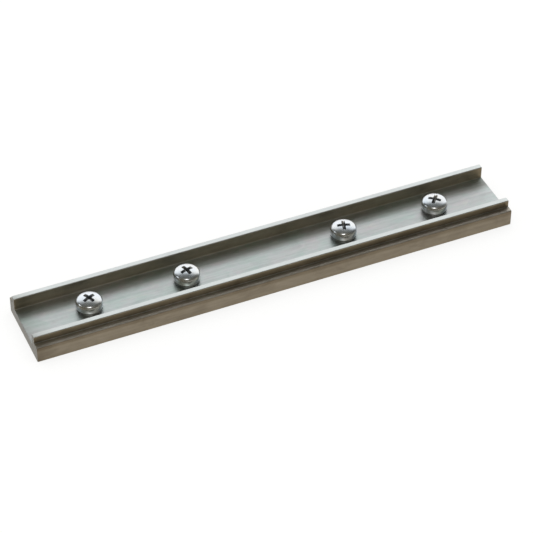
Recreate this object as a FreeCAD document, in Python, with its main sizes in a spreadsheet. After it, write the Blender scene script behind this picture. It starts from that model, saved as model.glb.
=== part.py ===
import FreeCAD, Part
import Sketcher
import math
import os

# Straight screw rail: a stepped channel bar with four screws along the middle
# of its channel, each on a split lock washer.
#
# Frame: millimetres. X runs along the rail, Y across it, +Z up out of the
# channel. The origin is the centre of the flat underside.

V = FreeCAD.Vector
doc = FreeCAD.newDocument("screw_rail")
os.makedirs("parts", exist_ok=True)

# ---------------------------------------------------------------------------
# driving dimensions
# ---------------------------------------------------------------------------
DIMS = [
    # rail section
    ("rail_length", 150.0, "overall length of the bar"),
    ("base_width", 23.4, "width across the foot"),
    ("lip_span", 19.0, "width across the outside of the two lips"),
    ("channel_width", 15.5, "clear width between the two lips"),
    ("rail_height", 7.5, "underside to the top of the lips"),
    ("ledge_height", 5.3, "underside to the top of the two side ledges"),
    ("floor_height", 3.6, "underside to the channel floor"),
    ("edge_break", 0.15, "small bevel on the long outer edges"),
    ("root_radius", 0.3, "radius in the two corners of the channel floor"),
    # screw holes
    ("inner_pitch", 50.0, "distance between the two inner screws"),
    ("outer_pitch", 110.0, "distance between the two outer screws"),
    ("hole_dia", 4.08, "bore that stands in for the M4 tapped hole"),
    ("hole_break", 0.3, "countersink of each hole on the underside"),
    # screw, M4 pan head with a cross recess
    ("head_dia", 7.9, "pan head diameter"),
    ("head_high", 3.1, "pan head height"),
    ("crown_radius", 9.0, "radius of the domed crown"),
    ("corner_radius", 1.3, "radius from the crown to the side of the head"),
    ("head_bevel", 0.15, "bevel under the rim of the head"),
    ("neck_dia", 3.4, "waist that keeps the washer on the screw"),
    ("neck_long", 1.3, "length of the waist under the head"),
    ("thread_dia", 3.98, "outside diameter of the thread"),
    ("screw_long", 4.55, "length under the head"),
    ("point_bevel", 0.4, "bevel at the point"),
    ("recess_span", 3.9, "cross recess, tip to tip at the crown"),
    ("recess_wing", 1.0, "cross recess, width of one wing at the crown"),
    ("recess_core", 1.9, "cross recess, tip to tip at its bottom"),
    ("recess_core_wing", 0.75, "cross recess, width of one wing at its bottom"),
    ("recess_deep", 1.9, "cross recess depth from the top of the crown"),
    # split lock washer
    ("washer_dia", 7.6, "lock washer outside diameter"),
    ("washer_bore", 3.8, "lock washer inside diameter"),
    ("washer_thick", 1.0, "lock washer thickness, pressed flat"),
    ("washer_gap", 0.6, "width of the split"),
    ("washer_skew", 0.5, "how far the split leans over the thickness"),
]
sheet = doc.addObject("Spreadsheet::Sheet", "Dims")
D = {}
for i, (alias, value, note) in enumerate(DIMS, start=1):
    sheet.set("A%d" % i, alias)
    sheet.set("B%d" % i, str(value))
    sheet.set("C%d" % i, note)
    sheet.setAlias("B%d" % i, alias)
    D[alias] = value
doc.recompute()


# ---------------------------------------------------------------------------
# helpers
# ---------------------------------------------------------------------------
def plane(body, role):
    for feature in body.Origin.OriginFeatures:
        if feature.Role == role:
            return feature
    raise RuntimeError("no plane " + role)


def new_sketch(body, name, role, rise=None):
    sk = body.newObject("Sketcher::SketchObject", name)
    sk.AttachmentSupport = [(plane(body, role), "")]
    sk.MapMode = "FlatFace"
    if rise is not None:
        sk.setExpression("AttachmentOffset.Base.z", rise)
    return sk


def value_of(expr):
    """The starting value of an expression in the sheet's aliases."""
    if isinstance(expr, (int, float)):
        return float(expr)
    return float(total_of(expr))


def total_of(expr):
    # sums and products of aliases and numbers
    total = 0.0
    for sign, term in split_terms(expr):
        product = 1.0
        for kind, factor in split_factors(term):
            number = D[factor] if factor in D else float(factor)
            product = product * number if kind == "*" else product / number
        total += sign * product
    return total


def split_terms(expr):
    out, sign, word = [], 1.0, ""
    for ch in expr.replace(" ", ""):
        if ch in "+-":
            if word:
                out.append((sign, word))
                word = ""
                sign = 1.0 if ch == "+" else -1.0
            else:
                sign = -sign if ch == "-" else sign
        else:
            word += ch
    out.append((sign, word))
    return out


def split_factors(term):
    out, kind, word = [], "*", ""
    for ch in term:
        if ch in "*/":
            out.append((kind, word))
            kind, word = ch, ""
        else:
            word += ch
    out.append((kind, word))
    return out


def cells(expr):
    """The same expression, written against the sheet."""
    for alias in sorted(D, key=len, reverse=True):
        expr = expr.replace(alias, "@%d@" % list(D).index(alias))
    for k, alias in enumerate(D):
        expr = expr.replace("@%d@" % k, "Dims." + alias)
    return expr


def place_vertex(sk, geo, end, ex, ey, tag):
    """Ties one end of a segment to coordinates taken from the sheet."""
    for axis, expr in (("X", ex), ("Y", ey)):
        if expr is None:
            continue
        if expr == "0":
            sk.addConstraint(Sketcher.Constraint(
                "PointOnObject", geo, end, -2 if axis == "X" else -1))
            continue
        k = sk.addConstraint(Sketcher.Constraint(
            "Distance" + axis, -1, 1, geo, end, value_of(expr)))
        sk.renameConstraint(k, tag + axis.lower())
        sk.setExpression("Constraints." + tag + axis.lower(), cells(expr))


def polygon(sk, points, tag):
    """A closed polygon whose corners are bound to the sheet."""
    xy = [(value_of(a), value_of(b)) for a, b in points]
    first = sk.GeometryCount
    count = len(xy)
    for k in range(count):
        a, b = xy[k], xy[(k + 1) % count]
        sk.addGeometry(Part.LineSegment(V(a[0], a[1], 0), V(b[0], b[1], 0)), False)
    for k in range(count):
        sk.addConstraint(Sketcher.Constraint(
            "Coincident", first + k, 2, first + (k + 1) % count, 1))
    for k in range(count):
        place_vertex(sk, first + k, 1, points[k][0], points[k][1], "%s%d" % (tag, k))


def circle(sk, ex, ey, radius, tag):
    geo = sk.addGeometry(Part.Circle(
        V(value_of(ex), value_of(ey), 0), V(0, 0, 1), value_of(radius)), False)
    k = sk.addConstraint(Sketcher.Constraint("Radius", geo, value_of(radius)))
    sk.renameConstraint(k, tag + "r")
    sk.setExpression("Constraints." + tag + "r", cells(radius))
    place_vertex(sk, geo, 3, ex, ey, tag)
    return geo


def volume(body):
    doc.recompute()
    return body.Shape.Volume


def must_shrink(body, before, least, what):
    after = volume(body)
    if before - after < least:
        raise RuntimeError("%s: %s cut only %.4f mm3" % (body.Label, what, before - after))
    return after


# ---------------------------------------------------------------------------
# rail: one stepped channel bar
# ---------------------------------------------------------------------------
rail = doc.addObject("PartDesign::Body", "rail")
rail.Label = "rail"
section = new_sketch(rail, "rail_section", "YZ_Plane")
polygon(section, [
    ("-base_width/2", "0"), ("base_width/2", "0"),
    ("base_width/2", "ledge_height"), ("lip_span/2", "ledge_height"),
    ("lip_span/2", "rail_height"), ("channel_width/2", "rail_height"),
    ("channel_width/2", "floor_height"), ("-channel_width/2", "floor_height"),
    ("-channel_width/2", "rail_height"), ("-lip_span/2", "rail_height"),
    ("-lip_span/2", "ledge_height"), ("-base_width/2", "ledge_height"),
], "sec")
bar = rail.newObject("PartDesign::Pad", "rail_bar")
bar.Profile = section
bar.Midplane = True
bar.setExpression("Length", "Dims.rail_length")
vol = volume(rail)

holes = new_sketch(rail, "screw_holes", "XY_Plane")
circle(holes, "-outer_pitch/2", "0", "hole_dia/2", "hole1")
circle(holes, "-inner_pitch/2", "0", "hole_dia/2", "hole2")
circle(holes, "inner_pitch/2", "0", "hole_dia/2", "hole3")
circle(holes, "outer_pitch/2", "0", "hole_dia/2", "hole4")
drill = rail.newObject("PartDesign::Pocket", "screw_bores")
drill.Profile = holes
drill.Reversed = True
drill.setExpression("Length", "Dims.rail_height")
vol = must_shrink(rail, vol, 150.0, "screw bores")


def long_edges(shape, corners):
    """Names of the edges that run the full length at the given Y, Z corners."""
    names = []
    for k, edge in enumerate(shape.Edges, start=1):
        box = edge.BoundBox
        if box.XLength < D["rail_length"] - 1e-6:
            continue
        for y, z in corners:
            if abs(box.Center.y - y) < 1e-6 and abs(box.Center.z - z) < 1e-6:
                names.append("Edge%d" % k)
    return names


half = D["channel_width"] / 2
roots = long_edges(rail.Shape, [(half, D["floor_height"]), (-half, D["floor_height"])])
if len(roots) != 2:
    raise RuntimeError("rail: floor corners not found")
root = rail.newObject("PartDesign::Fillet", "floor_roots")
root.Base = (drill, roots)
root.setExpression("Radius", "Dims.root_radius")
vol_root = volume(rail)
if vol_root <= vol:
    raise RuntimeError("rail: floor corners not filled")

outer = []
for side in (1, -1):
    outer += [(side * D["base_width"] / 2, 0.0),
              (side * D["base_width"] / 2, D["ledge_height"]),
              (side * D["lip_span"] / 2, D["rail_height"]),
              (side * D["channel_width"] / 2, D["rail_height"])]
breaks = long_edges(rail.Shape, outer)
if len(breaks) != 8:
    raise RuntimeError("rail: outer edges not found")
bevel = rail.newObject("PartDesign::Chamfer", "edge_breaks")
bevel.Base = (root, breaks)
bevel.setExpression("Size", "Dims.edge_break")
vol = must_shrink(rail, vol_root, 5.0, "edge breaks")

rims = []
for k, edge in enumerate(rail.Shape.Edges, start=1):
    box = edge.BoundBox
    if (box.ZLength < 1e-6 and abs(box.Center.z) < 1e-6
            and abs(box.XLength - D["hole_dia"]) < 1e-3):
        rims.append("Edge%d" % k)
if len(rims) != 4:
    raise RuntimeError("rail: hole rims not found")
sink = rail.newObject("PartDesign::Chamfer", "hole_breaks")
sink.Base = (bevel, rims)
sink.setExpression("Size", "Dims.hole_break")
vol = must_shrink(rail, vol, 1.0, "hole breaks")


# ---------------------------------------------------------------------------
# screw: M4 pan head, waisted shank, cross recess
# ---------------------------------------------------------------------------
def head_corner():
    """Where the crown meets the corner radius, and the corner's centre."""
    crown, corner = D["crown_radius"], D["corner_radius"]
    edge, high = D["head_dia"] / 2, D["head_high"]
    low = high - crown
    cx = edge - corner
    cz = low + math.sqrt((crown - corner) ** 2 - cx ** 2)
    k = crown / (crown - corner)
    return (cx * k, low + (cz - low) * k), (cx, cz)


def cross(sk, span, wing, tag):
    a, b = span + "/2", wing + "/2"
    polygon(sk, [
        (a, "-" + b), (a, b), (b, b), (b, a), ("-" + b, a), ("-" + b, b),
        ("-" + a, b), ("-" + a, "-" + b), ("-" + b, "-" + b), ("-" + b, "-" + a),
        (b, "-" + a), (b, "-" + b),
    ], tag)


def make_screw(number, x_expr, turn):
    name = "screw_%d" % number
    body = doc.addObject("PartDesign::Body", name)
    body.Label = name
    sk = new_sketch(body, name + "_profile", "XZ_Plane")
    (tx, tz), (cx, cz) = head_corner()
    edge, high = D["head_dia"] / 2, D["head_high"]
    low = high - D["crown_radius"]
    crown_end = math.atan2(tz - low, tx)
    g_crown = sk.addGeometry(Part.ArcOfCircle(
        Part.Circle(V(0, low, 0), V(0, 0, 1), D["crown_radius"]),
        crown_end, math.pi / 2), False)
    g_corner = sk.addGeometry(Part.ArcOfCircle(
        Part.Circle(V(cx, cz, 0), V(0, 0, 1), D["corner_radius"]),
        0.0, crown_end), False)
    pts = [
        ("head_dia/2", None), ("head_dia/2", "head_bevel"),
        ("head_dia/2-head_bevel", "0"), ("neck_dia/2", "0"),
        ("neck_dia/2", "-neck_long"),
        ("thread_dia/2", "-neck_long-thread_dia/2+neck_dia/2"),
        ("thread_dia/2", "-screw_long+point_bevel"),
        ("thread_dia/2-point_bevel", "-screw_long"), ("0", "-screw_long"),
        ("0", "head_high"),
    ]
    xy = [(value_of(a), cz if b is None else value_of(b)) for a, b in pts]
    lines = []
    for k in range(len(xy) - 1):
        a, b = xy[k], xy[k + 1]
        lines.append(sk.addGeometry(
            Part.LineSegment(V(a[0], a[1], 0), V(b[0], b[1], 0)), False))
    sk.addConstraint(Sketcher.Constraint("Coincident", lines[-1], 2, g_crown, 2))
    for k in range(len(lines) - 1):
        sk.addConstraint(Sketcher.Constraint("Coincident", lines[k], 2, lines[k + 1], 1))
    sk.addConstraint(Sketcher.Constraint("Tangent", g_crown, 1, g_corner, 2))
    sk.addConstraint(Sketcher.Constraint("Tangent", g_corner, 1, lines[0], 1))
    sk.addConstraint(Sketcher.Constraint("PointOnObject", g_crown, 3, -2))
    for geo, alias in ((g_crown, "crown_radius"), (g_corner, "corner_radius")):
        k = sk.addConstraint(Sketcher.Constraint("Radius", geo, D[alias]))
        sk.renameConstraint(k, alias)
        sk.setExpression("Constraints." + alias, "Dims." + alias)
    for k in range(1, len(pts) - 1):
        place_vertex(sk, lines[k], 1, pts[k][0], pts[k][1], "p%d" % k)
    place_vertex(sk, lines[-1], 2, "0", "head_high", "apex")
    turned = body.newObject("PartDesign::Revolution", name + "_turned")
    turned.Profile = sk
    turned.ReferenceAxis = (sk, ["V_Axis"])
    turned.Angle = 360.0
    before = volume(body)

    top = new_sketch(body, name + "_cross_top", "XY_Plane", "Dims.head_high + 0.02")
    cross(top, "recess_span", "recess_wing", "t")
    end = new_sketch(body, name + "_cross_end", "XY_Plane",
                     "Dims.head_high - Dims.recess_deep")
    cross(end, "recess_core", "recess_core_wing", "e")
    recess = body.newObject("PartDesign::SubtractiveLoft", name + "_recess")
    recess.Profile = top
    recess.Sections = [end]
    recess.Ruled = True
    must_shrink(body, before, 3.0, "cross recess")

    body.Placement = FreeCAD.Placement(V(0, 0, 0), FreeCAD.Rotation(V(0, 0, 1), turn))
    body.setExpression("Placement.Base.x", cells(x_expr))
    body.setExpression("Placement.Base.z", "Dims.floor_height + Dims.washer_thick")
    return body


# ---------------------------------------------------------------------------
# split lock washer, pressed flat under the head
# ---------------------------------------------------------------------------
def make_washer(number, x_expr, turn):
    name = "lock_washer_%d" % number
    body = doc.addObject("PartDesign::Body", name)
    body.Label = name
    sk = new_sketch(body, name + "_ring", "XY_Plane")
    circle(sk, "0", "0", "washer_dia/2", "outer")
    circle(sk, "0", "0", "washer_bore/2", "inner")
    ring = body.newObject("PartDesign::Pad", name + "_blank")
    ring.Profile = sk
    ring.setExpression("Length", "Dims.washer_thick")
    before = volume(body)
    # the split is cut across one side of the ring and leans over its thickness
    slit = new_sketch(body, name + "_split", "YZ_Plane")
    polygon(slit, [
        ("-washer_gap/2-washer_skew/2", "0"),
        ("washer_gap/2-washer_skew/2", "0"),
        ("washer_gap/2+washer_skew/2", "washer_thick"),
        ("-washer_gap/2+washer_skew/2", "washer_thick"),
    ], "s")
    cut = body.newObject("PartDesign::Pocket", name + "_gap")
    cut.Profile = slit
    cut.Reversed = True
    cut.setExpression("Length", "Dims.washer_dia")
    must_shrink(body, before, 0.5, "split")
    body.Placement = FreeCAD.Placement(V(0, 0, 0), FreeCAD.Rotation(V(0, 0, 1), turn))
    body.setExpression("Placement.Base.x", cells(x_expr))
    body.setExpression("Placement.Base.z", "Dims.floor_height")
    return body


SPOTS = [
    # place along X, turn of the recess, turn of the split
    ("-outer_pitch/2", 24.0, 200.0),
    ("-inner_pitch/2", 15.0, 110.0),
    ("inner_pitch/2", 73.0, 35.0),
    ("outer_pitch/2", 49.0, 290.0),
]
bodies = [rail]
for number, (x_expr, cross_turn, split_turn) in enumerate(SPOTS, start=1):
    bodies.append(make_screw(number, x_expr, cross_turn))
    bodies.append(make_washer(number, x_expr, split_turn))
doc.recompute()

# ---------------------------------------------------------------------------
# check every object, then write one file per sub-part
# ---------------------------------------------------------------------------
for obj in doc.Objects:
    if "Invalid" in obj.State or "Error" in obj.State:
        raise RuntimeError("%s is %s" % (obj.Name, obj.State))
for body in bodies:
    shape = body.Shape
    if shape.isNull() or not shape.isValid() or len(shape.Solids) != 1:
        raise RuntimeError("%s has a bad shape" % body.Label)
    shape.exportStep("parts/%s.step" % body.Label)
    box = shape.BoundBox
    print("%-14s %9.3f mm3  x %.2f..%.2f  y %.2f..%.2f  z %.2f..%.2f" % (
        body.Label, shape.Volume, box.XMin, box.XMax, box.YMin, box.YMax, box.ZMin, box.ZMax))
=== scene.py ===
"""A zinc-plated channel bar with four pan-head screws, each on a split lock washer.

The bar lies along X, centred on the origin, with its underside on Z = 0 and its channel open
upwards. The camera looks down on it from the -Y side. Shapes are built in millimetres and scaled
to metres at the end.
"""
import math
from contextlib import contextmanager
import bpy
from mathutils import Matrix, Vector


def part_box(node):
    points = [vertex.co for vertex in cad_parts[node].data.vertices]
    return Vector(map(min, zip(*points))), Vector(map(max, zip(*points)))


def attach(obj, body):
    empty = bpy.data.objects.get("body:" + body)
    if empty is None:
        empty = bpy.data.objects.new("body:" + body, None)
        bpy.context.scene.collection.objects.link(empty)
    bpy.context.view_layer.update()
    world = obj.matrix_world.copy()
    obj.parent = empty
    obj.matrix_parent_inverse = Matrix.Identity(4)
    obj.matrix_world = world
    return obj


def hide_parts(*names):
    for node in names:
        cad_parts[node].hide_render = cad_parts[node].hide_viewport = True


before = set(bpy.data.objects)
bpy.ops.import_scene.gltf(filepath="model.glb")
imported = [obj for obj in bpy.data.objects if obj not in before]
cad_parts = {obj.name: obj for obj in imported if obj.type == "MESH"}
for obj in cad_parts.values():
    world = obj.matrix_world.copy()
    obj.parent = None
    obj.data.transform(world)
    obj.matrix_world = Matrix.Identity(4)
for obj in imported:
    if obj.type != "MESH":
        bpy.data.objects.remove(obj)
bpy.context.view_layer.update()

from types import SimpleNamespace

import bmesh
import bpy
import numpy as np
from mathutils import Matrix, Vector

MM = 0.001
scene = bpy.context.scene


# ---------------------------------------------------------------------------
# sizes read off the frame, in millimetres
# ---------------------------------------------------------------------------
def box_mm(node):
    low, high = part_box(node)
    return Vector(low) / MM, Vector(high) / MM


def centre_of(node):
    low, high = box_mm(node)
    return (low.x + high.x) / 2, (low.y + high.y) / 2


def verts_mm(mesh):
    """The vertices of a mesh held in metres, as rows of x, y, z in millimetres."""
    return np.array([v.co for v in mesh.vertices], float) / MM


RAIL_LOW, RAIL_HIGH = box_mm("rail")
HALF_LONG = (RAIL_HIGH.x - RAIL_LOW.x) / 2
HALF_FOOT = (RAIL_HIGH.y - RAIL_LOW.y) / 2
TOP = RAIL_HIGH.z                       # top of the two lips
WASHER_LOW, WASHER_HIGH = box_mm("lock_washer_1")
FLOOR = WASHER_LOW.z                    # the washers stand on the channel floor
WASHER_THICK = WASHER_HIGH.z - WASHER_LOW.z
HEAD_Z = WASHER_HIGH.z                  # underside of the heads
HEAD_H = box_mm("screw_1")[1].z - HEAD_Z

# the lips are the highest points of the rail; the ledge is the highest point outside them
LIP_ROUND = 0.15                        # added to each side of the flat top of a lip
rail_points = verts_mm(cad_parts["rail"].data)
lip_y = np.abs(rail_points[rail_points[:, 2] > TOP - 0.02][:, 1])
LIP_OUT = float(lip_y.max()) + LIP_ROUND
LIP_IN = float(lip_y.min()) - LIP_ROUND
outside_lips = np.abs(rail_points[:, 1]) > LIP_OUT + 0.3
LEDGE = float(rail_points[outside_lips][:, 2].max())

# ---------------------------------------------------------------------------
# chosen sizes, in millimetres and degrees
# ---------------------------------------------------------------------------
HEAD_R = 3.95
CROWN_R = 9.0                           # radius of the domed top of a head
CORNER_R = 1.3                          # radius between the dome and the head's side
SHANK_R = 1.60                          # also the root of the thread
CREST_R = 1.985
PITCH = 0.7
WASHER_R = 3.8
BORE_R = 1.9
NUMBERS = (1, 2, 3, 4)
CROSS_TURN = {1: 24.0, 2: 15.0, 3: 73.0, 4: 49.0}
SPLIT_TURN = {1: 200.0, 2: 110.0, 3: 35.0, 4: 290.0}


# ---------------------------------------------------------------------------
# mesh helpers
# ---------------------------------------------------------------------------
@contextmanager
def editing(mesh):
    bm = bmesh.new()
    bm.from_mesh(mesh)
    yield bm
    bm.to_mesh(mesh)
    bm.free()


def mesh_object(name, verts, faces):
    """A linked object whose faces point outwards."""
    mesh = bpy.data.meshes.new(name)
    mesh.from_pydata([Vector(v) for v in verts], [], faces)
    mesh.validate()
    ob = bpy.data.objects.new(name, mesh)
    scene.collection.objects.link(ob)
    with editing(mesh) as bm:
        bmesh.ops.remove_doubles(bm, verts=bm.verts, dist=1e-6)
        bmesh.ops.recalc_face_normals(bm, faces=bm.faces)
        if bm.calc_volume(signed=True) < 0:
            bmesh.ops.reverse_faces(bm, faces=bm.faces)
    return ob


def skin_rings(name, rings):
    """Skins a list of equal closed rings, capped at both ends."""
    size = len(rings[0])
    verts = [point for ring in rings for point in ring]
    faces = []
    for i in range(len(rings) - 1):
        this, after = i * size, (i + 1) * size
        for k in range(size):
            m = (k + 1) % size
            faces.append((this + k, this + m, after + m, after + k))
    last = (len(rings) - 1) * size
    faces.append(tuple(range(size - 1, -1, -1)))
    faces.append(tuple(last + k for k in range(size)))
    return mesh_object(name, verts, faces)


def cut(target, tool):
    """Cuts the tool out of the target and removes the tool."""
    modifier = target.modifiers.new("cut", "BOOLEAN")
    modifier.operation = "DIFFERENCE"
    modifier.solver = "EXACT"
    modifier.object = tool
    bpy.context.view_layer.update()
    graph = bpy.context.evaluated_depsgraph_get()
    mesh = bpy.data.meshes.new_from_object(target.evaluated_get(graph), depsgraph=graph)
    target.modifiers.clear()
    old = target.data
    target.data = mesh
    bpy.data.meshes.remove(old)
    bpy.data.objects.remove(tool, do_unlink=True)


def open_edges_and_volume(ob):
    bm = bmesh.new()
    bm.from_mesh(ob.data)
    open_edges = sum(1 for e in bm.edges if len(e.link_faces) != 2)
    volume = bm.calc_volume(signed=True)
    bm.free()
    return open_edges, volume


def cut_cleanly(make_body, make_tool, least, most, tries=8, nudge=0.13):
    """Cuts, and tries again with the tool `nudge` degrees further round if the result is open
    or the volume taken away is not between least and most (cubic millimetres)."""
    for attempt in range(tries):
        body, tool = make_body(), make_tool()
        _, before = open_edges_and_volume(body)
        tool.data.transform(Matrix.Rotation(math.radians(nudge * attempt), 4, "Z"))
        cut(body, tool)
        open_edges, after = open_edges_and_volume(body)
        if open_edges == 0 and least < before - after < most:
            break
        if attempt < tries - 1:
            bpy.data.objects.remove(body, do_unlink=True)
    return body


def clean(ob, distance=0.0004):
    """Merges slivers left by the cuts and drops loose points."""
    with editing(ob.data) as bm:
        bmesh.ops.remove_doubles(bm, verts=bm.verts, dist=distance)
        bmesh.ops.dissolve_degenerate(bm, dist=distance, edges=bm.edges)
        loose = [v for v in bm.verts if not v.link_faces]
        bmesh.ops.delete(bm, geom=loose, context="VERTS")
        bmesh.ops.recalc_face_normals(bm, faces=bm.faces)


def shade(ob, crease):
    """Smooth faces, with sharp edges where they meet at more than `crease` degrees."""
    mesh = ob.data
    mesh.polygons.foreach_set("use_smooth", [True] * len(mesh.polygons))
    limit = math.radians(crease)
    with editing(mesh) as bm:
        for e in bm.edges:
            e.smooth = not (len(e.link_faces) == 2 and e.calc_face_angle(0.0) > limit)


def move(ob, x, y, z=0):
    ob.data.transform(Matrix.Translation(Vector((x, y, z))))
    return ob


def to_metres(ob):
    ob.data.transform(Matrix.Scale(MM, 4))


def point_attribute(ob, name, values):
    attribute = ob.data.attributes.new(name, "FLOAT", "POINT")
    attribute.data.foreach_set("value", values.astype(np.float32))


# ---------------------------------------------------------------------------
# thread, shared by the screws and the tapped holes
# ---------------------------------------------------------------------------
def thread_height(phase):
    """0 at the root, 1 at the crest; phase runs 0 to 1 over a pitch."""
    half_crest, half_base = 0.0625, 0.375       # of a pitch
    off = abs((phase % 1.0) - 0.5)              # 0 at the middle of the crest
    return min(1.0, max(0.0, (half_base - off) / (half_base - half_crest)))


def threaded_solid(name, upper, lower, root, crest, z_high, z_low,
                   run_high=0, run_low=0, segments=96, step=0.035):
    """A closed solid about Z: plain profile, a right-hand thread, plain profile.

    upper and lower hold (radius, z) from the top down. The thread fades out over run_high
    and run_low at its ends.
    """
    stations = [([radius] * segments, z) for radius, z in upper]
    count = int(round((z_high - z_low) / step))
    for i in range(count + 1):
        z = z_high - (z_high - z_low) * i / count
        fade = min(1.0, (z_high - z) / run_high if run_high else 1.0,
                   (z - z_low) / run_low if run_low else 1.0)
        # the helix is tied to world height, so threads on one axis mesh with each other
        radii = [root + (crest - root) * thread_height(z / PITCH - k / segments) * fade
                 for k in range(segments)]
        stations.append((radii, z))
    stations += [([radius] * segments, z) for radius, z in lower]

    verts, rings = [], []
    for radii, z in stations:
        start = len(verts)
        if radii[0] < 1e-9:                     # a point on the axis
            verts.append((0, 0, z))
        else:
            for k, radius in enumerate(radii):
                angle = 2 * math.pi * k / segments
                verts.append((radius * math.cos(angle), radius * math.sin(angle), z))
        rings.append(list(range(start, len(verts))))

    faces = []
    for over, under in zip(rings, rings[1:]):
        for k in range(segments):
            m = (k + 1) % segments
            if len(over) == 1:
                faces.append((over[0], under[k], under[m]))
            elif len(under) == 1:
                faces.append((over[k], under[0], over[m]))
            else:
                faces.append((over[k], under[k], under[m], over[m]))
    return mesh_object(name, verts, faces)


# ---------------------------------------------------------------------------
# rail: drawn bar with rounded long edges, deburred ends and four tapped holes
# ---------------------------------------------------------------------------
# y, z, corner radius: positive on an outside corner, negative on an inside one
RAIL_CORNERS = (
    (-HALF_FOOT, 0.0, 0.14), (HALF_FOOT, 0.0, 0.14),
    (HALF_FOOT, LEDGE, 0.36), (LIP_OUT, LEDGE, -0.24),
    (LIP_OUT, TOP, 0.20), (LIP_IN, TOP, 0.20),
    (LIP_IN, FLOOR, -0.30), (-LIP_IN, FLOOR, -0.30),
    (-LIP_IN, TOP, 0.20), (-LIP_OUT, TOP, 0.20),
    (-LIP_OUT, LEDGE, -0.24), (-HALF_FOOT, LEDGE, 0.36),
)
RAIL_LENGTHS = 75                       # stations are spaced at this fraction of the bar
# distance in from an end of the bar, inset of the section there
RAIL_END = ((0.0, 0.16), (0.035, 0.075), (0.09, 0.022), (0.17, 0.0))

# the tapped hole's plain parts: radius, z
HOLE_MOUTH = ((0, FLOOR + 0.6), (2.30, FLOOR + 0.6), (2.08, FLOOR + 0.02), (2.05, FLOOR - 0.33))
HOLE_COUNTERSINK = ((2.06, 0.16), (2.34, -0.14), (2.34, -0.60), (0, -0.60))


def rail_profile(inset, arc_steps=5, least_radius=0.04, hold_outside=0.18, hold_inside=0.9):
    """(y, z) round the section, its whole outline moved inwards by inset.

    Each corner is an arc with a holding point a little way along the flat on either side.
    """
    points = []
    for i, (y, z, signed_radius) in enumerate(RAIL_CORNERS):
        before_y, before_z, _ = RAIL_CORNERS[i - 1]
        after_y, after_z, _ = RAIL_CORNERS[(i + 1) % len(RAIL_CORNERS)]
        arriving = Vector((y - before_y, z - before_z)).normalized()
        leaving = Vector((after_y - y, after_z - z)).normalized()
        left = Vector((-arriving.y, arriving.x))
        corner = Vector((y, z)) + (left + Vector((-leaving.y, leaving.x))) * inset
        side = 1 if signed_radius > 0 else -1
        radius = max(abs(signed_radius) - side * inset, least_radius)
        centre = corner - arriving * radius + side * left * radius
        start = centre - side * left * radius
        hold = hold_outside if side > 0 else hold_inside
        points.append(start - arriving * hold)
        start_angle = math.atan2((start - centre).y, (start - centre).x)
        turn = math.pi / 2 * side
        for k in range(arc_steps + 1):
            angle = start_angle + turn * k / arc_steps
            points.append(centre + Vector((math.cos(angle), math.sin(angle))) * radius)
        points.append(points[-1] + leaving * hold)
    return points


def tapped_hole_cutter(x, y):
    """Thread through the floor, an opened mouth above and a countersink below."""
    cutter = threaded_solid("bore", HOLE_MOUTH, HOLE_COUNTERSINK, root=1.66, crest=2.03,
                            z_high=FLOOR - 0.36, z_low=0.20, segments=72)
    return move(cutter, x, y)


def mark_rail(ob):
    """edge: on a rounded long edge; root: how near a point is to an inside corner."""
    edge_reach, edge_least, root_reach = 0.26, 0.15, 0.8
    inboard_y, inboard_share = 8.6, 0.25        # root is weaker nearer the middle than this
    points = verts_mm(ob.data)
    y, z = np.abs(points[:, 1]), points[:, 2]

    def nearness(corners, reach):
        nearest = np.min([np.hypot(y - cy, z - cz) for cy, cz in corners], axis=0)
        return np.clip(1 - nearest / reach, 0, 1)

    edge = nearness(((HALF_FOOT, LEDGE), (LIP_OUT, TOP), (LIP_IN, TOP)), edge_reach)
    root = nearness(((LIP_OUT, LEDGE), (LIP_IN, FLOOR)), root_reach)
    point_attribute(ob, "edge", edge > edge_least)
    point_attribute(ob, "root", root * np.where(y < inboard_y, inboard_share, 1.0))


def build_rail():
    stations = [(-HALF_LONG + inward, inset) for inward, inset in RAIL_END]
    stations += [(-HALF_LONG + 2 * HALF_LONG * k / RAIL_LENGTHS, 0.0)
                 for k in range(1, RAIL_LENGTHS)]
    stations += [(HALF_LONG - inward, inset) for inward, inset in reversed(RAIL_END)]
    rings = [[(x, p.x, p.y) for p in rail_profile(inset)] for x, inset in stations]
    ob = skin_rings("rail_bar", rings)
    for number in NUMBERS:
        cut(ob, tapped_hole_cutter(*centre_of(f"screw_{number}")))
    clean(ob)
    to_metres(ob)
    mark_rail(ob)
    return ob


# ---------------------------------------------------------------------------
# screw: pan head, cross recess with rolled rim, waist, thread
# ---------------------------------------------------------------------------
# lower rim of the head: distance in from its side, height above its underside
HEAD_RIM = ((0.0, 0.20), (0.03, 0.10), (0.09, 0.03), (0.18, 0.0))
# below the head: radius, depth under the head
NECK = ((1.86, 0.0), (1.72, 0.05), (1.66, 0.16), (SHANK_R, 0.30), (SHANK_R, 0.80))

# recess rings that follow the dome: span and width of the wings, growth all round, lift
RIM_RINGS = ((3.90, 1.00, 0.50, 0.60), (3.90, 1.00, 0.13, 0.10),
             (3.90, 1.00, 0.045, 0.0), (3.85, 0.98, 0.0, -0.070))
# flat recess rings: span and width of the wings, depth under the apex
DEEP_RINGS = ((3.00, 0.88, 1.05), (2.00, 0.74, 1.70), (1.30, 0.58, 1.90))


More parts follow.
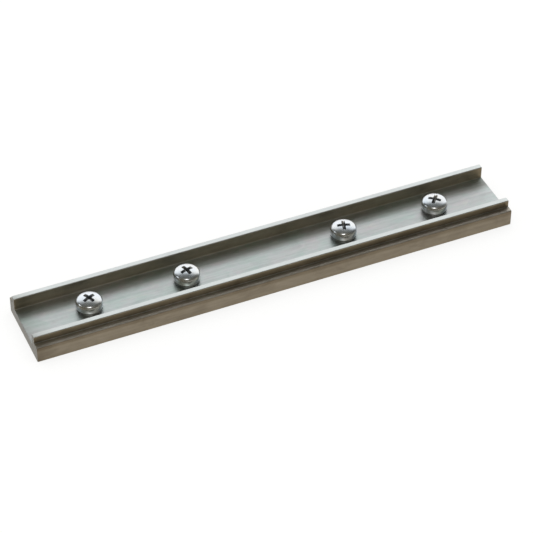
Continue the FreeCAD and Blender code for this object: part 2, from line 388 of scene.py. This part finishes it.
def head_curve(crown_steps=14, corner_steps=12):
    """(radius, z) from the apex to the underside, z from the underside of the head."""
    crown_z = HEAD_H - CROWN_R
    corner_x = HEAD_R - CORNER_R
    corner_z = crown_z + math.sqrt((CROWN_R - CORNER_R) ** 2 - corner_x ** 2)
    split = math.atan2(corner_z - crown_z, corner_x)    # where the dome meets the corner
    points = [(0.0, HEAD_H)]
    for k in range(1, crown_steps + 1):
        angle = math.pi / 2 + (split - math.pi / 2) * k / crown_steps
        points.append((CROWN_R * math.cos(angle), crown_z + CROWN_R * math.sin(angle)))
    for k in range(1, corner_steps + 1):
        angle = split * (1 - k / corner_steps)
        points.append((corner_x + CORNER_R * math.cos(angle),
                       corner_z + CORNER_R * math.sin(angle)))
    return points + [(HEAD_R - inward, z) for inward, z in HEAD_RIM]


def dome(radius):
    """Height of the domed top above the underside of the head."""
    return HEAD_H - CROWN_R + np.sqrt(np.maximum(CROWN_R ** 2 - radius * radius, 0.01))


def cross_outline(span, width, grow=0.0, cuts=6, fillet=0.14, chamfer=0.13):
    """Points round a plus sign, with the same count whatever its size."""
    a, b = span / 2 + grow, width / 2 + grow
    tip_flat = 0.62                     # flat share of a wing's end
    # one wing and the inside corner after it: x, y, pieces up to the next corner
    wing = (
        (a - chamfer, -b, 1), (a, -b * tip_flat, 2), (a, b * tip_flat, 1), (a - chamfer, b, cuts),
        (b + fillet, b, 1), (b + fillet * 0.3, b + fillet * 0.3, 1), (b, b + fillet, cuts),
    )
    corners = []
    for quarter in range(4):
        c, s = math.cos(quarter * math.pi / 2), math.sin(quarter * math.pi / 2)
        corners += [(Vector((x * c - y * s, x * s + y * c)), pieces) for x, y, pieces in wing]
    points = []
    for i, (corner, pieces) in enumerate(corners):
        following = corners[(i + 1) % len(corners)][0]
        points += [corner.lerp(following, k / pieces) for k in range(pieces)]
    return points


def recess_cutter():
    rings = [[(p.x, p.y, dome(p.length) + lift) for p in cross_outline(span, width, grow)]
             for span, width, grow, lift in RIM_RINGS]
    rings += [[(p.x, p.y, HEAD_H - depth) for p in cross_outline(span, width)]
              for span, width, depth in DEEP_RINGS]
    return skin_rings("recess", rings)


def mark_recess(ob, x, y):
    """recess: 0 at the rim of the cross recess, rising to 1 deep inside it."""
    reach, above_underside = 2.6, 0.4           # only points in here can be in the recess
    start_depth, full_after = 0.06, 0.5
    points = verts_mm(ob.data)
    radius = np.hypot(points[:, 0] - x, points[:, 1] - y)
    z = points[:, 2]
    depth = np.clip((HEAD_Z + dome(radius) - z - start_depth) / full_after, 0, 1)
    in_recess = (radius < reach) & (z > HEAD_Z + above_underside)
    point_attribute(ob, "recess", np.where(in_recess, depth, 0))


def build_screw(number):
    node = f"screw_{number}"
    x, y = centre_of(node)
    tip = box_mm(node)[0].z

    def body():
        upper = [(radius, z + HEAD_Z) for radius, z in head_curve()]
        upper += [(radius, HEAD_Z - depth) for radius, depth in NECK]
        lower = [(1.52, tip + 0.12), (1.34, tip), (0.0, tip)]
        return threaded_solid(f"pan_screw_{number}", upper, lower, root=SHANK_R, crest=CREST_R,
                              z_high=HEAD_Z - 1.30, z_low=tip + 0.26, run_high=0.35, run_low=0.25)

    def tool():
        cutter = recess_cutter()
        cutter.data.transform(Matrix.Translation((0, 0, HEAD_Z))
                              @ Matrix.Rotation(math.radians(CROSS_TURN[number]), 4, "Z"))
        return cutter

    ob = move(cut_cleanly(body, tool, least=2.0, most=20.0), x, y)
    clean(ob)
    to_metres(ob)
    mark_recess(ob, x, y)
    return ob


# ---------------------------------------------------------------------------
# split lock washer, pressed flat, with a skewed split
# ---------------------------------------------------------------------------
def washer_section(thick, round_r=0.16, rim_drop=0.03, arc_steps=4):
    """(outwards, z) round the wire, rounded at the corners and a little thicker at the bore."""
    half = (WASHER_R - BORE_R) / 2
    # centre of the corner arc, starting angle
    arcs = ((half - round_r, thick - round_r - rim_drop, 0), (-half + round_r, thick - round_r, 90),
            (-half + round_r, round_r, 180), (half - round_r, round_r + rim_drop, 270))
    points = []
    for out, z, start in arcs:
        for k in range(arc_steps + 1):
            angle = math.radians(start + 90 * k / arc_steps)
            points.append((out + round_r * math.cos(angle), z + round_r * math.sin(angle)))
    return points


def eased_end(ring, push):
    """The end ring drawn in, and pushed along Y into the split."""
    mid_x = sum(p[0] for p in ring) / len(ring)
    mid_z = sum(p[2] for p in ring) / len(ring)
    return [(mid_x + (x - mid_x) * 0.90, y + push, mid_z + (z - mid_z) * 0.88)
            for x, y, z in ring]


def build_washer(number, steps=96):
    gap, skew = 0.60, 0.50              # width of the split, its lean from bottom to top
    clearance = 0.004                   # above and below the washer
    end_push = 0.05
    x, y = centre_of(f"lock_washer_{number}")
    mid_r = (WASHER_R + BORE_R) / 2
    thick = WASHER_THICK - 2 * clearance
    section = washer_section(thick)
    rings = []
    for i in range(steps + 1):
        ring = []
        for out, z in section:
            radius = mid_r + out
            lean = skew * (z / thick - 0.5)
            first = (gap / 2 + lean) / radius
            last = 2 * math.pi - (gap / 2 - lean) / radius
            angle = first + (last - first) * (i / steps)
            ring.append((radius * math.cos(angle), radius * math.sin(angle), z + clearance))
        rings.append(ring)
    rings = [eased_end(rings[0], -end_push)] + rings + [eased_end(rings[-1], end_push)]
    ob = skin_rings(f"split_washer_{number}", rings)
    ob.data.transform(Matrix.Rotation(math.radians(SPLIT_TURN[number]), 4, "Z"))
    move(ob, x, y, WASHER_LOW.z)
    clean(ob)
    to_metres(ob)
    return ob


# ---------------------------------------------------------------------------
# materials
# ---------------------------------------------------------------------------
class Nodes:
    """Short forms for building the node tree of a material or world."""

    def __init__(self, owner, output="ShaderNodeOutputMaterial"):
        self.owner = owner
        owner.use_nodes = True
        self.tree = owner.node_tree
        self.tree.nodes.clear()
        self.surface = self.new(output).inputs["Surface"]

    def new(self, kind, **props):
        node = self.tree.nodes.new(kind)
        for key, value in props.items():
            setattr(node, key, value)
        return node

    def feed(self, socket, value):
        """Links a socket, or sets a number, vector or (r, g, b) colour."""
        if isinstance(value, bpy.types.NodeSocket):
            self.tree.links.new(value, socket)
        elif isinstance(value, tuple) and socket.type == "RGBA":
            socket.default_value = (*value, 1)
        else:
            socket.default_value = value

    def filled(self, kind, inputs, **props):
        """A new node with its inputs, by name or index, fed."""
        node = self.new(kind, **props)
        for key, value in inputs.items():
            self.feed(node.inputs[key], value)
        return node

    def coords(self, output="Object"):
        return self.new("ShaderNodeTexCoord").outputs[output]

    def split(self, vector):
        return self.filled("ShaderNodeSeparateXYZ", {0: vector}).outputs

    def math(self, operation, a, b=0.0, clamp=False):
        return self.filled("ShaderNodeMath", {0: a, 1: b},
                           operation=operation, use_clamp=clamp).outputs[0]

    def absolute(self, value):
        return self.math("ABSOLUTE", value)

    def times(self, a, b):
        return self.math("MULTIPLY", a, b)

    def add(self, value, extra, amount, clamp=False):
        return self.math("ADD", value, self.times(extra, amount), clamp)

    def noise(self, vector, scale=1.0, detail=3.0, rough=0.5, distort=0.0):
        return self.filled("ShaderNodeTexNoise", {
            "Vector": vector, "Scale": scale, "Detail": detail,
            "Roughness": rough, "Distortion": distort}).outputs["Fac"]

    def stretched(self, vector, scales, turn=(0, 0, 0), **noise):
        """Noise with its own scale along each axis."""
        mapped = self.filled("ShaderNodeMapping", {
            "Vector": vector, "Scale": scales, "Rotation": turn})
        return self.noise(mapped.outputs["Vector"], **noise)

    def ramp(self, factor, *stops):
        """stops: (position, colour)"""
        node = self.filled("ShaderNodeValToRGB", {"Fac": factor})
        elements = node.color_ramp.elements
        while len(elements) > 1:
            elements.remove(elements[-1])
        elements[0].position = stops[0][0]
        elements[0].color = (*stops[0][1], 1)
        for position, colour in stops[1:]:
            elements.new(position).color = (*colour, 1)
        return node.outputs["Color"]

    def remap(self, value, span, to=(0.0, 1.0)):
        return self.filled("ShaderNodeMapRange", {
            "Value": value, "From Min": span[0], "From Max": span[1],
            "To Min": to[0], "To Max": to[1]}).outputs["Result"]

    def remap_mm(self, value, span, to=(0.0, 1.0)):
        return self.remap(value, (span[0] * MM, span[1] * MM), to)

    def mix(self, factor, under, over, strength=None, blend="MIX"):
        if strength is not None:
            factor = self.times(factor, strength)
        # inputs 6 and 7 are the two colours
        return self.filled("ShaderNodeMix", {"Factor": factor, 6: under, 7: over},
                           data_type="RGBA", blend_type=blend).outputs[2]

    def tint(self, colour, by):
        return self.mix(1.0, colour, by, blend="MULTIPLY")

    def tint_where(self, mask, colour, by, strength=None):
        return self.mix(mask, colour, self.tint(colour, by), strength)

    def bump(self, height, strength, distance):
        return self.filled("ShaderNodeBump", {
            "Height": height, "Strength": strength, "Distance": distance}).outputs["Normal"]

    def attribute(self, name):
        return self.new("ShaderNodeAttribute", attribute_name=name).outputs["Fac"]

    def mix_shader(self, factor, a, b):
        return self.filled("ShaderNodeMixShader", {0: factor, 1: a, 2: b}).outputs[0]

    def unless_glossy(self, plain, glossy):
        """One shader for reflection rays, another for all the rest, as the surface."""
        is_glossy = self.new("ShaderNodeLightPath").outputs["Is Glossy Ray"]
        self.feed(self.surface, self.mix_shader(is_glossy, plain, glossy))

    def glow(self, kind, colour, strength=1.0):
        return self.filled(kind, {"Color": colour, "Strength": strength}).outputs[0]

    def metal(self, base, rough, normal, metallic=1.0):
        shader = self.filled("ShaderNodeBsdfPrincipled", {
            "Base Color": base, "Roughness": rough, "Metallic": metallic, "Normal": normal})
        self.feed(self.surface, shader.outputs[0])
        return self.owner


def rail_patterns(n, coord):
    return SimpleNamespace(
        # soft patches a few millimetres across, drawn out along the bar
        patches=n.stretched(coord, (130, 300, 300), detail=4.0, rough=0.62, distort=0.6),
        cells=n.stretched(coord, (420, 700, 700), rough=0.55, distort=0.2),
        bloom=n.stretched(coord, (95, 210, 210), turn=(0.7, 0.2, 0.1), distort=0.3),
        long_lines=n.stretched(coord, (22, 5200, 5200), rough=0.6),
        wide_lines=n.stretched(coord, (7, 1300, 1300), detail=2.0),
        sawn=n.stretched(coord, (1000, 260, 5200), turn=(0.35, 0, 0), detail=2.0, rough=0.6),
        speck=n.noise(coord, scale=5200.0, detail=2.0, rough=0.6),
    )


def rail_masks(n, coord, pattern):
    """Where each finish lies on the bar; distances in millimetres."""
    facing = n.split(n.new("ShaderNodeNewGeometry").outputs["Normal"])
    place = n.split(coord)
    y, z = place["Y"], place["Z"]
    at = SimpleNamespace()
    at.side = n.remap(n.absolute(facing["Y"]), (0.55, 0.9))
    at.end = n.remap(n.absolute(facing["X"]), (0.6, 0.9))
    at.lip = n.times(n.remap_mm(z, (TOP - 0.16, TOP - 0.02)), n.remap(facing["Z"], (0.3, 0.8)))
    # above the ledge or between the lips
    high = n.remap_mm(z, (LEDGE + 0.05, LEDGE + 0.35))
    inside = n.math("LESS_THAN", n.absolute(y), (LIP_IN + 0.02) * MM)
    at.dull = n.math("MAXIMUM", high, inside)
    # painted shade: the strip of channel floor beside the +Y wall is darkened, standing in for the
    # wall's shadow and dark reflection, leaving out the underside of the bar
    strip = n.times(n.remap_mm(y, (2.1, 4.3)), inside)
    at.strip = n.times(strip, n.math("GREATER_THAN", z, 1.0 * MM))
    # painted reflection: a lighter band low on the foot's sides; painted shade: a darker strip
    # under the foot's top edge
    at.rubbed = n.times(n.remap_mm(z, (0.3, 1.1), to=(0.2, 1.0)),
                        n.remap_mm(z, (3.5, 4.2), to=(1.0, 0.0)))
    at.under = n.times(n.remap_mm(z, (3.9, 4.8)), n.math("SUBTRACT", 1.0, at.dull))
    at.on_ledge = n.times(n.remap_mm(n.absolute(y), (LIP_OUT + 0.05, LIP_OUT + 0.35)),
                          n.remap(facing["Z"], (0.4, 0.8)))
    at.worn = n.times(n.attribute("edge"), n.remap(pattern.patches, (0.35, 0.6), to=(0.25, 0.9)))
    at.handled = n.remap_mm(place["X"], (-75.0, -68.0), to=(0.85, 0.0))     # darker towards the -X end
    # painted shade: the inside corners are darkened, and made rougher
    at.dirt = n.times(n.attribute("root"), n.remap(pattern.cells, (0.3, 0.65), to=(0.75, 0.25)))
    at.specks = n.remap(pattern.speck, (0.66, 0.74), to=(0.0, 0.35))
    return at


def rail_colour(n, pattern, at):
    zinc = n.ramp(pattern.patches,
                  (0.30, (0.560, 0.600, 0.590)), (0.46, (0.640, 0.680, 0.665)),
                  (0.56, (0.690, 0.715, 0.715)), (0.72, (0.770, 0.785, 0.760)))
    zinc = n.tint(zinc, n.ramp(pattern.cells, (0.35, (0.97, 1.00, 0.985)),
                               (0.52, (1.0, 1.0, 1.0)), (0.68, (1.0, 0.975, 0.99))))
    zinc = n.tint(zinc, n.ramp(pattern.bloom, (0.36, (0.945, 1.00, 0.975)),
                               (0.50, (1.0, 1.0, 1.0)), (0.64, (1.0, 0.955, 0.965))))
    # painted shade of the +Y wall on the channel floor
    zinc = n.tint_where(at.strip, zinc, by=(0.62, 0.60, 0.54), strength=0.58)
    # painted reflection: the side faces are coloured browner and darker than the top faces, most of
    # all above the ledge and in the channel
    flank = n.ramp(pattern.patches, (0.32, (0.470, 0.440, 0.400)),
                   (0.50, (0.560, 0.530, 0.480)), (0.68, (0.620, 0.590, 0.545)))
    flank = n.tint_where(at.dull, flank, by=(0.99, 0.96, 0.87), strength=1.0)
    # painted reflection, lightening the lower foot sides
    flank = n.tint_where(at.rubbed, flank, by=(1.12, 1.14, 1.20))
    # painted shade under the foot's top edge
    flank = n.tint_where(at.under, flank, by=(0.84, 0.80, 0.79))
    base = n.mix(at.side, zinc, flank)
    ledge = n.ramp(pattern.patches, (0.35, (0.46, 0.40, 0.33)), (0.65, (0.56, 0.50, 0.42)))
    base = n.mix(at.on_ledge, base, ledge, strength=0.8)
    cut_end = n.ramp(pattern.sawn, (0.3, (0.44, 0.45, 0.455)), (0.7, (0.60, 0.61, 0.615)))
    base = n.mix(at.end, base, cut_end)
    streak = n.remap(pattern.wide_lines, (0.35, 0.65), to=(0.95, 1.04))
    base = n.filled("ShaderNodeVectorMath", {0: base, "Scale": streak},
                    operation="SCALE").outputs[0]
    # bright rubbed metal on the lips and the long edges, painted shade in the inside corners
    base = n.mix(at.lip, base, (0.77, 0.80, 0.785))
    base = n.mix(at.worn, base, (0.80, 0.80, 0.79))
    base = n.tint_where(at.handled, base, by=(0.74, 0.73, 0.71))
    base = n.mix(at.dirt, base, (0.20, 0.185, 0.155))
    return n.mix(at.specks, base, (0.40, 0.395, 0.38))


def rail_roughness(n, pattern, at):
    rough = n.remap(pattern.patches, (0.3, 0.7), to=(0.37, 0.45))
    rough = n.math("ADD", rough, n.remap(pattern.long_lines, (0.3, 0.7), to=(-0.03, 0.03)))
    rough = n.add(rough, at.side, amount=-0.06)
    rough = n.add(rough, at.end, amount=0.12)
    rough = n.add(rough, at.on_ledge, amount=0.05)
    rough = n.add(rough, at.strip, amount=0.17)
    rough = n.math("SUBTRACT", rough, n.times(at.lip, 0.05))
    return n.add(rough, at.dirt, amount=0.20, clamp=True)


def rail_height(n, pattern, at):
    """Drawing lines along the bar, saw marks on its ends."""
    height = n.times(pattern.long_lines, n.math("SUBTRACT", 1.0, at.end))
    height = n.add(height, pattern.wide_lines, amount=0.8)
    height = n.add(height, pattern.cells, amount=0.5)
    return n.add(height, n.times(pattern.sawn, at.end), amount=2.5)


def rail_material():
    n = Nodes(bpy.data.materials.new("zinc_bar"))
    coord = n.coords()
    pattern = rail_patterns(n, coord)
    at = rail_masks(n, coord, pattern)
    base = rail_colour(n, pattern, at)
    rough = rail_roughness(n, pattern, at)
    normal = n.bump(rail_height(n, pattern, at), strength=0.24, distance=0.000012)
    less_metal_on_ends = n.math("SUBTRACT", 1.0, n.times(at.end, 0.45))
    return n.metal(base, rough, normal, metallic=less_metal_on_ends)


def screw_material():
    n = Nodes(bpy.data.materials.new("bright_zinc_screw"))
    coord = n.coords()
    peel = n.noise(coord, scale=900.0)
    cloud = n.noise(coord, scale=260.0, detail=2.0)
    fine = n.noise(coord, scale=7000.0, detail=2.0, rough=0.6)
    recess = n.attribute("recess")
    base = n.ramp(cloud, (0.30, (0.80, 0.86, 0.93)), (0.50, (0.87, 0.90, 0.93)),
                  (0.70, (0.91, 0.90, 0.87)))
    # painted shade: the cross recess is coloured near black, more so the deeper it goes
    base = n.mix(recess, base, (0.16, 0.165, 0.17), strength=0.75)
    rough = n.add(n.remap(peel, (0.3, 0.7), to=(0.19, 0.28)), recess, amount=0.22)
    height = n.add(n.times(peel, 1.0), fine, amount=0.25)
    return n.metal(base, rough, n.bump(height, strength=0.25, distance=0.00002))


def washer_material():
    n = Nodes(bpy.data.materials.new("spring_steel_washer"))
    coord = n.coords()
    cloud = n.noise(coord, scale=700.0, rough=0.55)
    fine = n.stretched(coord, (1500, 1500, 9000), detail=2.0, rough=0.6)
    # partly the steel's own grey, partly painted shade: the washer is coloured darker to stand in
    # for the shade under the head
    base = n.ramp(cloud, (0.32, (0.22, 0.225, 0.225)), (0.52, (0.30, 0.305, 0.305)),
                  (0.70, (0.38, 0.38, 0.37)))
    rough = n.remap(cloud, (0.3, 0.7), to=(0.30, 0.42))
    return n.metal(base, rough, n.bump(fine, strength=0.3, distance=0.00002))


def floor_material():
    n = Nodes(bpy.data.materials.new("pale_floor"))
    grain = n.noise(n.coords(), scale=900.0, detail=2.0)
    pale = n.ramp(grain, (0.3, (0.955, 0.955, 0.95)), (0.7, (0.975, 0.975, 0.97)))
    matt = n.filled("ShaderNodeBsdfPrincipled", {
        "Base Color": pale, "Roughness": 0.9, "Specular IOR Level": 0.0}).outputs[0]
    white = n.glow("ShaderNodeEmission", (1.0, 1.0, 0.995))
    # what the bar's sides reflect of the floor: a warm mid grey
    reflected = n.glow("ShaderNodeEmission", (0.345, 0.300, 0.228))
    white_share = 0.74
    n.unless_glossy(n.mix_shader(white_share, matt, white), reflected)
    n.owner.cycles.emission_sampling = "NONE"
    return n.owner


# ---------------------------------------------------------------------------
# build
# ---------------------------------------------------------------------------
def fit(ob, material, crease, node, rides):
    """Shades a finished piece and puts it in place of its frame node."""
    shade(ob, crease)
    ob.data.materials.clear()
    ob.data.materials.append(material)
    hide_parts(node)
    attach(ob, rides)


rail_metal, screw_metal, washer_metal = rail_material(), screw_material(), washer_material()
fit(build_rail(), rail_metal, crease=32.0, node="rail", rides="rail")
for number in NUMBERS:
    fit(build_screw(number), screw_metal, crease=30.0,
        node=f"screw_{number}", rides=f"screw_{number}")
    fit(build_washer(number), washer_metal, crease=40.0,
        node=f"lock_washer_{number}", rides=f"washer_{number}")


# ---------------------------------------------------------------------------
# stage, camera, world and lights, in metres
# ---------------------------------------------------------------------------
def direction(azimuth, elevation):
    """Unit vector from the origin, angles in degrees."""
    a, e = math.radians(azimuth), math.radians(elevation)
    return Vector((math.cos(a) * math.cos(e), math.sin(a) * math.cos(e), math.sin(e)))


def place_facing_origin(ob, towards, distance):
    scene.collection.objects.link(ob)
    ob.location = towards * distance
    ob.rotation_mode = "QUATERNION"
    ob.rotation_quaternion = (-towards).to_track_quat("-Z", "Y")


def build_floor():
    mesh = bpy.data.meshes.new("stage_floor")
    bm = bmesh.new()
    bmesh.ops.create_grid(bm, x_segments=8, y_segments=8, size=3.0)
    bm.to_mesh(mesh)
    bm.free()
    ob = bpy.data.objects.new("stage_floor", mesh)
    ob.location = (0, 0, -0.00002)      # just clear of the bar's underside
    scene.collection.objects.link(ob)
    mesh.materials.append(floor_material())


def build_camera(towards):
    data = bpy.data.cameras.new("camera")
    ob = bpy.data.objects.new("camera", data)
    place_facing_origin(ob, towards, distance=0.67205)
    data.sensor_width = 36.0
    data.lens = 154.347467
    data.shift_x = 0.00084427767
    data.shift_y = -0.0000938086304
    data.clip_start = 0.02
    data.clip_end = 20.0
    scene.camera = ob


def build_world(camera_side):
    """Even white light; reflections see a room dark near the camera and bright beyond."""
    world = bpy.data.worlds.new("studio")
    scene.world = world
    n = Nodes(world, output="ShaderNodeOutputWorld")
    # reflections only follow their own rays, so they see the designed room and nothing else
    world.cycles.sampling_method = "NONE"
    # 1 straight away from the camera along the ground, -1 towards it, brought to 0 to 1
    away = n.filled("ShaderNodeVectorMath", {
        0: n.coords("Generated"), 1: Vector((-camera_side.x, -camera_side.y, 0)).normalized(),
    }, operation="DOT_PRODUCT").outputs["Value"]
    share = n.filled("ShaderNodeMath", {0: away, 1: 0.5, 2: 0.5}, operation="MULTIPLY_ADD")
    room = n.ramp(share.outputs[0],
                  (0.0, (0.110, 0.097, 0.070)), (0.22, (0.105, 0.095, 0.070)),
                  (0.50, (0.090, 0.090, 0.080)), (0.70, (0.125, 0.130, 0.125)),
                  (0.80, (0.94, 0.97, 0.98)), (0.90, (1.03, 1.05, 1.06)),
                  (1.0, (1.05, 1.05, 1.05)))
    plain = n.glow("ShaderNodeBackground", (1.0, 1.0, 0.995), strength=1.06)
    n.unless_glossy(plain, n.glow("ShaderNodeBackground", room))


def softbox(name, azimuth, elevation, width, height, energy, colour):
    data = bpy.data.lights.new(name, "AREA")
    data.shape = "RECTANGLE"
    data.size, data.size_y = width, height
    data.energy = energy
    data.color = colour
    ob = bpy.data.objects.new(name, data)
    place_facing_origin(ob, direction(azimuth, elevation), distance=1.2)


camera_side = direction(azimuth=-113.513, elevation=41.492)
build_floor()
build_camera(camera_side)
build_world(camera_side)
softbox("front_box", azimuth=-113.5, elevation=58.0, width=0.30, height=0.22,
        energy=1.15, colour=(1.0, 0.975, 0.94))
softbox("side_box", azimuth=159.0, elevation=32.0, width=0.30, height=0.26,
        energy=0.40, colour=(0.94, 0.97, 1.0))

scene.view_settings.view_transform = "Standard"
scene.view_settings.look = "None"
scene.view_settings.exposure = 0.0


bpy.context.view_layer.update()
